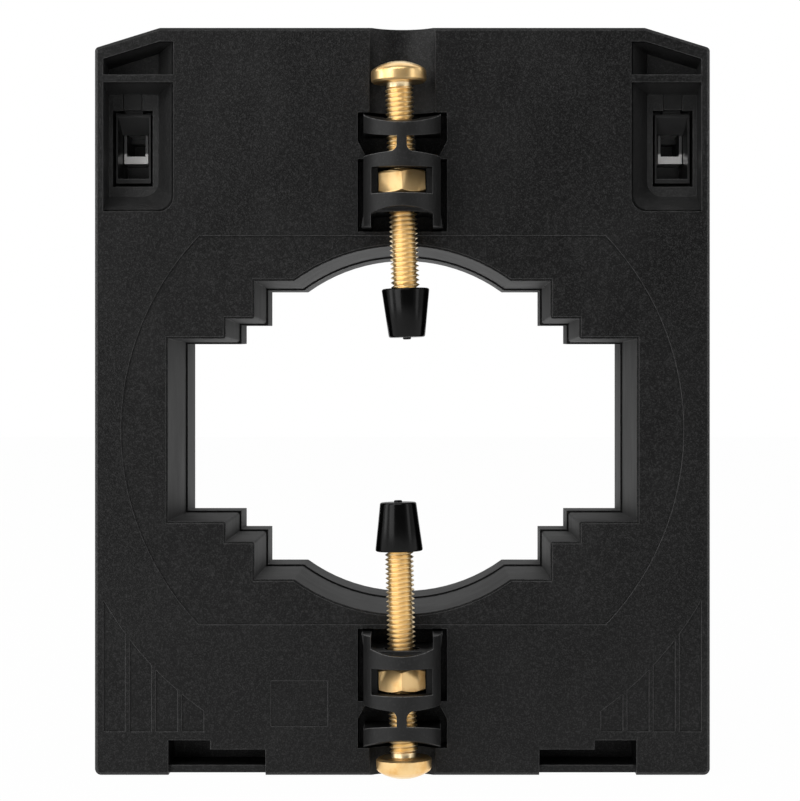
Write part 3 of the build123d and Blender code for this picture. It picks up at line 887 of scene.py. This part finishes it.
@dataclass
class ThreadForm:
    """A right-hand screw thread, in millimetres.

    Crest and trough say where each starts, and where the crest ends, as shares of the pitch.
    """

    radius: float
    pitch: float
    depth: float
    crest: tuple[float, float] = (0.43, 0.53)
    trough: float = 0.96
    weld: float = 0.001
    steps: int = 40

    def cut(self, name: str, low: float, high: float) -> bpy.types.Object:
        """Winds the thread between two heights.

        Args:
            name: the piece's name.
            low: lowest point.
            high: highest point.

        Returns:
            The threaded rod, closed at both ends.
        """
        root = self.radius - self.depth
        turns = max(1, round((high - low) / self.pitch) - 1)
        pitch = (high - low) / (turns + 1)
        rise, fall = self.crest
        profile = [(root, 0.0), (self.radius, rise * pitch), (self.radius, fall * pitch),
                   (root, self.trough * pitch), (root, pitch)]
        piece = Bench.line(name, [(radius, low + height) for radius, height in profile])
        Bench.finish_with(piece, "SCREW", angle=FULL_TURN, screw_offset=pitch * MM, iterations=turns,
                          steps=self.steps, render_steps=self.steps, axis="Z", use_normal_calculate=False)
        Bench.edit(piece)
        bpy.ops.mesh.remove_doubles(threshold=self.weld * MM)
        bpy.ops.mesh.select_all(action="SELECT")
        bpy.ops.mesh.fill_holes(sides=0)
        bpy.ops.mesh.select_all(action="SELECT")
        bpy.ops.mesh.normals_make_consistent(inside=False)
        Bench.clear()
        return piece


@dataclass
class MachineScrew:
    """A pan-head screw with a cross recess, its head's underside at z = 0 and its shank downwards.

    The shoulder is where the head's side turns into its dome. The easings are steps from the rim's
    top and from the shoulder that round the corner between them.
    """

    thread: ThreadForm
    head_radius: float
    head_rim: float
    shoulder: tuple[float, float]
    head_height: float
    neck_radius: float
    neck_length: float
    recess_reach: float
    recess_blade: float
    recess_depth: float
    finish: Finishes
    under_chamfer: float = 0.35
    neck_fillet: float = 0.3
    rim_easing: tuple[tuple[float, float], ...] = ((0.0, -0.15), (-0.04, 0.08))
    shoulder_easing: tuple[float, float] = (0.08, -0.07)
    recess_taper: tuple[float, float] = (0.45, 0.8)
    thread_lap: float = 0.4
    dome_steps: int = 9
    turn_steps: int = 72

    def head(self, name: str) -> bpy.types.Object:
        """Turns the domed head on its neck and cuts the cross recess.

        Args:
            name: the piece's name.

        Returns:
            The head.
        """
        chamfer, fillet, neck = self.under_chamfer, self.neck_fillet, self.neck_radius
        side = [(0.0, -self.neck_length), (neck, -self.neck_length), (neck, -fillet),
                (neck + 0.3 * fillet, -0.3 * fillet), (neck + fillet, 0.0),
                (self.head_radius - chamfer, 0.0), (self.head_radius, chamfer)]
        out, up = self.shoulder
        corner = [(self.head_radius + across, self.head_rim + along) for across, along in self.rim_easing]
        corner.append((out + self.shoulder_easing[0], up + self.shoulder_easing[1]))
        rise = self.head_height - up
        dome_radius = (out ** 2 + rise ** 2) / (2 * rise)
        reach = math.asin(out / dome_radius)
        dome = []
        for index in range(self.dome_steps + 1):
            angle = reach * (1 - index / self.dome_steps)
            drop = dome_radius * (1 - math.cos(angle))
            dome.append((dome_radius * math.sin(angle), self.head_height - drop))
        piece = Bench.lathe(name, side + corner + dome, self.turn_steps)
        self._cut_recess(piece)
        return piece

    def _cut_recess(self, piece: bpy.types.Object) -> None:
        """Cuts two tapered slots that cross on the axis.

        Args:
            piece: the head.
        """
        reach, blade = self.recess_reach / 2, self.recess_blade / 2
        clearance, low = 0.5, self.head_height - self.recess_depth
        for turn in (0.0, math.pi / 2):
            tool = Bench.block("recess_tool", (-reach, -blade, low),
                               (reach, blade, self.head_height + clearance))
            Bench.edit(tool, "DESELECT")
            bpy.ops.object.mode_set(mode="OBJECT")
            for vertex in tool.data.vertices:
                vertex.select = vertex.co.z < (low + clearance) * MM
            bpy.ops.object.mode_set(mode="EDIT")
            bpy.ops.transform.resize(value=(*self.recess_taper, 1.0), center_override=(0, 0, low * MM))
            Bench.clear()
            Bench.settle(tool, Matrix.Rotation(turn, 4, "Z"))
            Bench.cut(piece, tool)

    def build(self, name: str, place: Matrix, length: float) -> bpy.types.Object:
        """Joins head and threaded shank and puts the screw in place.

        Args:
            name: the piece's name.
            place: where its head's underside goes.
            length: from there to the tip, in millimetres.

        Returns:
            The finished screw.
        """
        head = self.head(name)
        lap = self.thread_lap * self.thread.pitch
        shank = self.thread.cut("shank", -length, -self.neck_length + lap)
        piece = Bench.join([shank, head])
        Bench.smooth(piece)
        Bench.settle(piece, place)
        self.finish.value.dress(piece)
        return piece


@dataclass
class ClampCap:
    """The insulating cone on a clamp screw's tip, its tip at z = 0 and its mouth upwards."""

    length: float = 8.4
    mouth_radius: float = 4.08
    tip_radius: float = 3.15
    tip_wall: float = 3.75
    bore_radius: float = 2.5
    edge: float = 0.35
    mouth_chamfer: float = 0.15
    nub_radius: float = 0.7
    nub_height: float = 0.35
    nub_easing: tuple[float, float] = (0.8, 0.7)
    round_steps: int = 4
    turn_steps: int = 72

    def build(self, name: str, place: Matrix) -> bpy.types.Object:
        """Turns the cap with rounded rims and a moulding nub.

        Args:
            name: the piece's name.
            place: where its tip goes.

        Returns:
            The finished cap.
        """
        angles = [index / self.round_steps * math.pi / 2 for index in range(self.round_steps + 1)]
        easing = [(self.edge * (1 - math.sin(angle)), self.edge * (1 - math.cos(angle)))
                  for angle in angles]
        tip = [(self.tip_radius - first, second) for first, second in easing]
        mouth = [(self.mouth_radius - second, self.length - first) for first, second in easing]
        inwards, down = self.nub_easing
        nub = [(0.0, -self.nub_height), (self.nub_radius * inwards, -self.nub_height),
               (self.nub_radius, -self.nub_height * down), (self.nub_radius, 0.0)]
        chamfer = self.mouth_chamfer
        bore = [(self.bore_radius + chamfer, self.length), (self.bore_radius, self.length - chamfer),
                (self.bore_radius, self.tip_wall), (0.0, self.tip_wall)]
        piece = Bench.lathe(name, nub + tip + mouth + bore, self.turn_steps)
        Bench.smooth(piece)
        Bench.settle(piece, place)
        Finishes.CAP.value.dress(piece)
        return piece


@dataclass
class HexNut:
    """A hexagon nut with chamfered corners, centred on its own middle."""

    flats: float = 8.0
    height: float = 3.8
    chamfer: float = 0.45
    chamfer_run: float = 1.6
    bore_radius: float = 2.5
    bore_chamfer: float = 0.35
    edge: float = 0.07

    def build(self, name: str, place: Matrix) -> bpy.types.Object:
        """Shapes the hexagon against a chamfered drum and bores it.

        Args:
            name: the piece's name.
            place: where its middle goes.

        Returns:
            The finished nut.
        """
        corner = self.flats / math.sqrt(3)
        half = self.height / 2
        Bench.clear()
        bpy.ops.mesh.primitive_cylinder_add(vertices=6, radius=corner * MM, depth=self.height * MM)
        piece = bpy.context.object
        piece.name = piece.data.name = name
        clear = 0.01
        inner, outer = corner - self.chamfer_run * self.chamfer, corner + 2 * clear
        drum = [(0.0, -half - clear), (inner, -half - clear), (outer, -half + self.chamfer),
                (outer, half - self.chamfer), (inner, half + clear), (0.0, half + clear)]
        Bench.cut(piece, Bench.lathe("drum", drum, steps=96), "INTERSECT")
        mouth, end = self.bore_radius + self.bore_chamfer, half + 1
        throat = half - self.bore_chamfer
        bore = [(0.0, -end), (mouth, -end), (mouth, -half), (self.bore_radius, -throat),
                (self.bore_radius, throat), (mouth, half), (mouth, end), (0.0, end)]
        Bench.cut(piece, Bench.lathe("bore", bore))
        Bench.ease(piece, self.edge, segments=2, angle=25)
        Bench.smooth(piece)
        Bench.settle(piece, place)
        Bench.flatten_shading(piece)
        Finishes.NUT_BRASS.value.dress(piece)
        return piece


@dataclass
class ClampSet:
    """One clamp on the front face: holder, nut, screw and cap.

    The head's stand is how far its underside is from the nut's middle, and the nut's offset how far
    that is from the window's centre.
    """

    name: str
    sense: int
    lean: float
    head_stand: float
    nut_offset: float = 42.65
    screw_length: float = 40.0
    tip_gap: float = 0.05
    holder_edge: float = 0.2
    screw: MachineScrew = field(default_factory=lambda: MachineScrew(
        thread=ThreadForm(2.45, 0.8, 0.55), head_radius=4.75, head_rim=1.9, shoulder=(4.4, 2.35),
        head_height=3.7, neck_radius=2.15, neck_length=0.9, recess_reach=4.2, recess_blade=0.95,
        recess_depth=2.0, finish=Finishes.BRASS))
    cap: ClampCap = field(default_factory=ClampCap)
    nut: HexNut = field(default_factory=HexNut)

    def nut_place(self) -> Matrix:
        """Works out where the nut stands.

        Returns:
            The nut's frame, whose +Z leans away from the window.
        """
        middle = Vector((0, CLAMP_AXIS_Y, WINDOW_CENTRE_Z + self.sense * self.nut_offset)) * MM
        turn = 0.0 if self.sense > 0 else math.pi
        return (Matrix.Translation(middle) @ Matrix.Rotation(turn, 4, "Y")
                @ Matrix.Rotation(math.radians(-self.lean), 4, "Y"))

    def build(self) -> None:
        """Makes the clamp's pieces and sets each down on its body."""
        place = self.nut_place()
        head = place @ Matrix.Translation((0, 0, self.head_stand * MM))
        tip_stand = self.head_stand - self.screw_length - self.cap.tip_wall - self.tip_gap
        tip = place @ Matrix.Translation((0, 0, tip_stand * MM))
        screw = self.screw.build(f"{self.name}_threaded_screw", head, self.screw_length)
        set_down(screw, f"{self.name}_screw", "clamp_brass", f"{self.name}_clamp_screw")
        cap = self.cap.build(f"{self.name}_turned_cap", tip)
        set_down(cap, f"{self.name}_cap", "cap_black", f"{self.name}_clamp_cap")
        nut = self.nut.build(f"{self.name}_hex_nut", place)
        set_down(nut, "housing", "clamp_brass", f"{self.name}_clamp_nut")
        self._holder()

    def _holder(self) -> None:
        """Softens the holder's edges on a merged copy of its solid."""
        piece = Bench.copy_node(f"{self.name}_nut_holder", f"{self.name}_moulded_holder")
        Bench.ease(piece, self.holder_edge, segments=3, angle=30)
        Bench.smooth(piece)
        Bench.flatten_shading(piece)
        Finishes.HOLDER.value.dress(piece)
        set_down(piece, "housing", "holder_black", f"{self.name}_nut_holder")


@dataclass
class TerminalSet:
    """One cage terminal in an upper corner."""

    side: str
    sense: int
    axis_x: float = 47.75
    axis_y: float = -10.0
    finishes: dict[str, Finishes] = field(default_factory=lambda: {
        "terminal_cage": Finishes.NICKEL, "contact_bar": Finishes.TIN,
        "terminal_insert": Finishes.INSERT, "winding_lead": Finishes.WIRE})
    screw: MachineScrew = field(default_factory=lambda: MachineScrew(
        thread=ThreadForm(1.45, 0.5, 0.3), head_radius=2.5, head_rim=1.3, shoulder=(2.3, 1.55),
        head_height=1.8, neck_radius=1.2, neck_length=0.8, recess_reach=3.4, recess_blade=0.7,
        recess_depth=1.0, finish=Finishes.ZINC))

    def build(self) -> None:
        """Makes the terminal's screw and dresses its other pieces."""
        low, high = node_box(f"{self.side}_terminal_screw")
        head_z = high.z - self.screw.head_height
        place = Matrix.Translation(Vector((self.sense * self.axis_x, self.axis_y, head_z)) * MM)
        screw = self.screw.build(f"{self.side}_threaded_terminal_screw", place, head_z - low.z)
        set_down(screw, f"{self.side}_wire_screw", "zinc_steel", f"{self.side}_terminal_screw")
        for node, finish in self.finishes.items():
            dress_node(f"{self.side}_{node}", finish)


@dataclass
class Housing:
    """The two shells."""

    shells: tuple[str, str] = ("front_shell", "rear_shell")

    def build(self) -> None:
        """Dresses both shells in the housing's finish."""
        for name in self.shells:
            dress_node(name, Finishes.HOUSING)


@dataclass
class WindowLip:
    """The rear shell's lip, which steps in where the two shells meet inside the window.

    The bars are the openings' widths and heights, and the root is how deep the lip is rooted in the
    shell's wall.
    """

    bars: tuple[tuple[float, float], ...] = ((81.6, 31.8), (61.5, 38.8), (51.5, 51.9))
    round_radius: float = 32.05
    meet_y: float = 6.0
    end_y: float = 24.3
    step: float = 0.33
    root: float = 0.40
    end_set_back: float = 0.10
    weld: float = 0.01
    arc_steps: int = 36

    def _quarter(self) -> list[tuple[float, float]]:
        """Lists a quarter of the window's outline, grown by the root.

        Returns:
            Its corners about the window's centre, from the right side to the top.
        """
        corners: list[tuple[float, float]] = []
        for width, height in self.bars:
            half_x, half_z = width / 2 + self.root, height / 2 + self.root
            if corners:
                corners.append((half_x, corners[-1][1]))
            corners.append((half_x, half_z))
        radius = self.round_radius + self.root
        start = math.asin(corners[-1][1] / radius)
        for index in range(self.arc_steps + 1):
            angle = start + (math.pi / 2 - start) * index / self.arc_steps
            corners.append((radius * math.cos(angle), radius * math.sin(angle)))
        return corners

    def _outline(self) -> list[tuple[float, float]]:
        """Mirrors the quarter into the whole window.

        Returns:
            Its corners at their height, from the first and back to it.
        """
        right = self._quarter()
        top = right + [(-x, z) for x, z in reversed(right[:-1])]
        whole = top + [(-x, -z) for x, z in top] + [top[0]]
        return [(x, z + WINDOW_CENTRE_Z) for x, z in whole]

    def build(self) -> None:
        """Draws the window, pulls it back into a wall and thickens that inwards."""
        piece = Bench.line("rear_window_lip", self._outline())
        Bench.edit(piece)
        bpy.ops.mesh.remove_doubles(threshold=self.weld * MM)
        bpy.ops.mesh.select_all(action="SELECT")
        bpy.ops.transform.translate(value=(0, self.meet_y * MM, 0))
        back = (0, (self.end_y - self.meet_y) * MM, 0)
        bpy.ops.mesh.extrude_region_move(TRANSFORM_OT_translate={"value": back})
        bpy.ops.mesh.select_all(action="SELECT")
        bpy.ops.mesh.normals_make_consistent(inside=False)
        Bench.clear()
        thick, thin = self.root + self.step, self.root - self.end_set_back
        group = piece.vertex_groups.new(name="thickness")
        for vertex in piece.data.vertices:
            at_end = vertex.co.y > (self.meet_y + self.end_y) / 2 * MM
            group.add([vertex.index], thin / thick if at_end else 1.0, "REPLACE")
        Bench.finish_with(piece, "SOLIDIFY", thickness=thick * MM, offset=-1.0, use_even_offset=True,
                          vertex_group=group.name)
        Bench.heal(piece)
        Bench.smooth(piece)
        Finishes.HOUSING.value.dress(piece)
        set_down(piece, "housing", "housing_black")


@dataclass
class WoundPack:
    """The ring core and what is wound on it."""

    finishes: dict[str, Finishes] = field(default_factory=lambda: {
        "ring_core": Finishes.CORE, "core_insulation": Finishes.CARD,
        "secondary_winding": Finishes.WIRE, "winding_tape": Finishes.TAPE})

    def build(self) -> None:
        """Dresses every layer of the pack."""
        for node, finish in self.finishes.items():
            dress_node(node, finish)


@dataclass
class SoftBox:
    """One rectangular studio lamp."""

    name: str
    place: Point
    size: tuple[float, float]
    power: float

    def light(self, target: Point) -> None:
        """Hangs the lamp and aims it.

        Args:
            target: the point that it is aimed at.
        """
        data = bpy.data.lights.new(self.name, "AREA")
        data.shape = "RECTANGLE"
        data.size, data.size_y = self.size
        data.energy = self.power
        lamp = bpy.data.objects.new(self.name, data)
        lamp.location = self.place
        aim = Vector(target) - Vector(self.place)
        lamp.rotation_euler = aim.to_track_quat("-Z", "Y").to_euler()
        bpy.context.scene.collection.objects.link(lamp)


@dataclass
class Studio:
    """Camera, lamps, floor and surroundings of the photograph.

    The glossy levels are what a shiny surface meets on each side, and each band says where along its
    axis one level gives way to the next.
    """

    camera_place: Point = (0.0041, -0.429, 0.0667)
    lens: float = 104.46
    sensor: float = 36.0
    shift: tuple[float, float] = (-0.0324, -0.0111)
    target: Point = (0.0, -0.02, 0.065)
    lamps: tuple[SoftBox, ...] = (
        SoftBox("key_left", (-0.62, -0.80, 0.30), (0.5, 1.0), 3.6),
        SoftBox("side_left", (-0.96, -0.25, 0.30), (0.3, 0.9), 1.8),
        SoftBox("fill_right", (0.85, -0.50, 0.30), (0.25, 0.8), 0.8),
        SoftBox("top", (-0.10, -0.75, 0.92), (0.9, 0.7), 4.6),
        SoftBox("rim_left", (-0.90, 0.36, 0.15), (0.14, 0.9), 1.8),
        SoftBox("rim_right", (0.90, 0.28, 0.15), (0.12, 0.9), 1.4),
    )
    ambient: float = 0.32
    glossy_front: float = 0.12
    glossy_left: float = 0.85
    glossy_right: float = 0.50
    glossy_back: float = 1.20
    glossy_horizon: float = 0.34
    left_band: tuple[float, float] = (-0.45, -0.85)
    right_band: tuple[float, float] = (0.55, 0.9)
    back_band: tuple[float, float] = (-0.10, 0.60)
    rise_band: tuple[float, float] = (0.15, 0.65)
    floor_size: float = 6.0
    floor_drop: float = 0.00005
    floor_glow: float = 0.985
    floor_far: float = 0.20
    floor_band: tuple[float, float] = (-0.50, -0.20)

    def build(self) -> None:
        """Sets up everything that isn't the object."""
        self._camera()
        for lamp in self.lamps:
            lamp.light(self.target)
        self._world()
        self._floor()
        bpy.context.scene.view_settings.view_transform = "Standard"

    def _camera(self) -> None:
        """The photograph's viewpoint, level and square to the front face."""
        data = bpy.data.cameras.new("camera")
        data.lens = self.lens
        data.sensor_width = self.sensor
        data.shift_x, data.shift_y = self.shift
        camera = bpy.data.objects.new("camera", data)
        camera.location = self.camera_place
        camera.rotation_euler = (math.pi / 2, 0, 0)
        bpy.context.scene.collection.objects.link(camera)
        bpy.context.scene.camera = camera

    @staticmethod
    def _rays(tree: Tree, *kinds: str) -> list[Signal]:
        """One for each kind of ray, and nought for the others."""
        outputs = tree.node("ShaderNodeLightPath").socket.node.outputs
        return [Signal(tree, outputs[f"Is {kind} Ray"]) for kind in kinds]

    def _world(self) -> None:
        """White to the camera and behind the object, dim in front of it."""
        world = bpy.data.worlds.new("surroundings")
        bpy.context.scene.world = world
        tree = Tree(world)
        camera, mirror, clear = self._rays(tree, "Camera", "Glossy", "Transmission")
        across, depth, up = tree.split(tree.node("ShaderNodeTexCoord", output="Generated"))
        back = self.glossy_horizon + up.band(*self.rise_band) * (self.glossy_back - self.glossy_horizon)
        seen = self.glossy_front + depth.band(*self.back_band) * (back - self.glossy_front)
        for band, level in ((self.left_band, self.glossy_left), (self.right_band, self.glossy_right)):
            seen = seen + across.band(*band) * (level - seen)
        straight = camera.math("MAXIMUM", clear)
        rest = mirror * seen + (1 - mirror) * self.ambient
        strength = straight + (1 - straight) * rest
        background = tree.node("ShaderNodeBackground", feeds={"Color": grey(1.0), "Strength": strength})
        tree.node("ShaderNodeOutputWorld", feeds={"Surface": background})

    def _floor(self) -> None:
        """A plain pale floor that keeps a light shadow."""
        Bench.clear()
        bpy.ops.mesh.primitive_plane_add(size=self.floor_size, location=(0, 0, -self.floor_drop))
        floor = bpy.context.object
        floor.name = "floor"
        material = bpy.data.materials.new("pale_floor")
        floor.data.materials.append(material)
        tree = Tree(material)
        camera, mirror = self._rays(tree, "Camera", "Glossy")
        place = tree.place()
        _, away, _ = tree.split(place)
        near = away.band(*self.floor_band)
        dust = tree.noise(place, 40.0, 3.0)
        paint = tree.mix(dust, grey(0.86), grey(0.90))
        matt = tree.node("ShaderNodeBsdfDiffuse", feeds={"Color": paint})
        glow = tree.node("ShaderNodeEmission", feeds={"Color": grey(1.0), "Strength": 1.0})
        share = camera * self.floor_glow + mirror * (self.floor_far + near * (1 - self.floor_far))
        shown = tree.node("ShaderNodeMixShader", feeds={0: share, 1: matt, 2: glow})
        tree.node("ShaderNodeOutputMaterial", feeds={"Surface": shown})


def main() -> None:
    logging.basicConfig(level=logging.INFO, format="%(name)s: %(message)s")
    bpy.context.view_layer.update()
    builders: list[Callable[[], None]] = [
        Housing().build,
        WindowLip().build,
        WoundPack().build,
        ClampSet("top", 1, 1.8, 17.15).build,
        ClampSet("bottom", -1, 1.3, 13.45).build,
        TerminalSet("left", -1).build,
        TerminalSet("right", 1).build,
        Studio().build,
    ]
    for builder in builders:
        builder()


if __name__ == "__main__":
    main()
